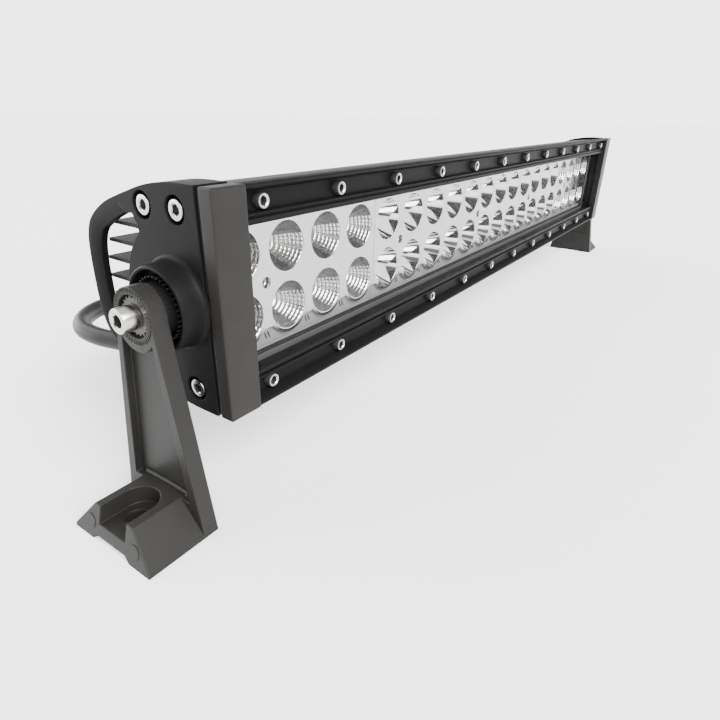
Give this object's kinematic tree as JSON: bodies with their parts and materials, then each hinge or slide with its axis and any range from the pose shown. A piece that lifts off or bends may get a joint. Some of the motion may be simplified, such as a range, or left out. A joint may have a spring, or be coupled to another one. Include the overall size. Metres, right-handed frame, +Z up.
{
  "type": "led light bar",
  "caption": "Straight double-row LED light bar with finned black housing, chrome reflectors behind a clear lens, looped end plates and swivelling slotted feet.",
  "frame": {"origin": "on the mounting surface, under the middle of the bar (bottom centre of its box without the lead)", "axes": "+X along the bar to its right end, -Y the way the lamps shine, +Z up from the feet"},
  "size_m": [0.6036, 0.1857, 0.1208],
  "materials": {
    "black_aluminium": "satin black powder coat",
    "frame_aluminium": "satin black powder coat",
    "bracket_coating": "fine textured charcoal powder coat",
    "stainless_steel": "bright stainless steel",
    "black_steel": "blackened steel",
    "reflector_chrome": "vacuum-metallised mirror",
    "clear_lens": "clear polycarbonate",
    "seal_silicone": "grey silicone",
    "led_board_white": "white solder mask",
    "circuit_board": "green solder mask",
    "cable_rubber": "dark grey rubber jacket",
    "gland_nylon": "black nylon",
    "connector_nylon": "black nylon"
  },
  "bodies": {
    "bar": {"bottom_bezel_screw_01": "stainless_steel", "bottom_bezel_screw_02": "stainless_steel", "bottom_bezel_screw_03": "stainless_steel", "bottom_bezel_screw_04": "stainless_steel", "bottom_bezel_screw_05": "stainless_steel", "bottom_bezel_screw_06": "stainless_steel", "bottom_bezel_screw_07": "stainless_steel", "bottom_bezel_screw_08": "stainless_steel", "bottom_bezel_screw_09": "stainless_steel", "bottom_bezel_screw_10": "stainless_steel", "bottom_bezel_screw_11": "stainless_steel", "bottom_bezel_screw_12": "stainless_steel", "bottom_bezel_strip": "frame_aluminium", "cable": "cable_rubber", "cable_gland": "gland_nylon", "connector": "connector_nylon", "driver_board": "circuit_board", "housing": "black_aluminium", "led_board": "led_board_white", "left_cap_screw_1": "stainless_steel", "left_cap_screw_2": "stainless_steel", "left_cap_screw_3": "stainless_steel", "left_cap_screw_4": "stainless_steel", "left_end_gasket": "seal_silicone", "left_end_plate": "black_aluminium", "left_end_post": "frame_aluminium", "left_pivot_bolt": "stainless_steel", "lens": "clear_lens", "lens_gasket": "seal_silicone", "reflector_1": "reflector_chrome", "reflector_2": "reflector_chrome", "reflector_3": "reflector_chrome", "reflector_4": "reflector_chrome", "reflector_5": "reflector_chrome", "right_cap_screw_1": "stainless_steel", "right_cap_screw_2": "stainless_steel", "right_cap_screw_3": "stainless_steel", "right_cap_screw_4": "stainless_steel", "right_end_gasket": "seal_silicone", "right_end_plate": "black_aluminium", "right_end_post": "frame_aluminium", "right_pivot_bolt": "stainless_steel", "top_bezel_screw_01": "stainless_steel", "top_bezel_screw_02": "stainless_steel", "top_bezel_screw_03": "stainless_steel", "top_bezel_screw_04": "stainless_steel", "top_bezel_screw_05": "stainless_steel", "top_bezel_screw_06": "stainless_steel", "top_bezel_screw_07": "stainless_steel", "top_bezel_screw_08": "stainless_steel", "top_bezel_screw_09": "stainless_steel", "top_bezel_screw_10": "stainless_steel", "top_bezel_screw_11": "stainless_steel", "top_bezel_screw_12": "stainless_steel", "top_bezel_strip": "frame_aluminium"},
    "left_bracket": {"left_bracket": "bracket_coating", "left_lock_washer": "black_steel"},
    "right_bracket": {"right_bracket": "bracket_coating", "right_lock_washer": "black_steel"}
  },
  "joints": [
    {"name": "left_bracket_pivot", "type": "hinge", "parent": "bar", "child": "left_bracket", "pos_m": [-0.272, -0.01395, 0.0807], "axis": [1, 0, 0], "continuous": true},
    {"name": "right_bracket_pivot", "type": "hinge", "parent": "bar", "child": "right_bracket", "pos_m": [0.272, -0.01395, 0.0807], "axis": [1, 0, 0], "continuous": true}
  ]
}
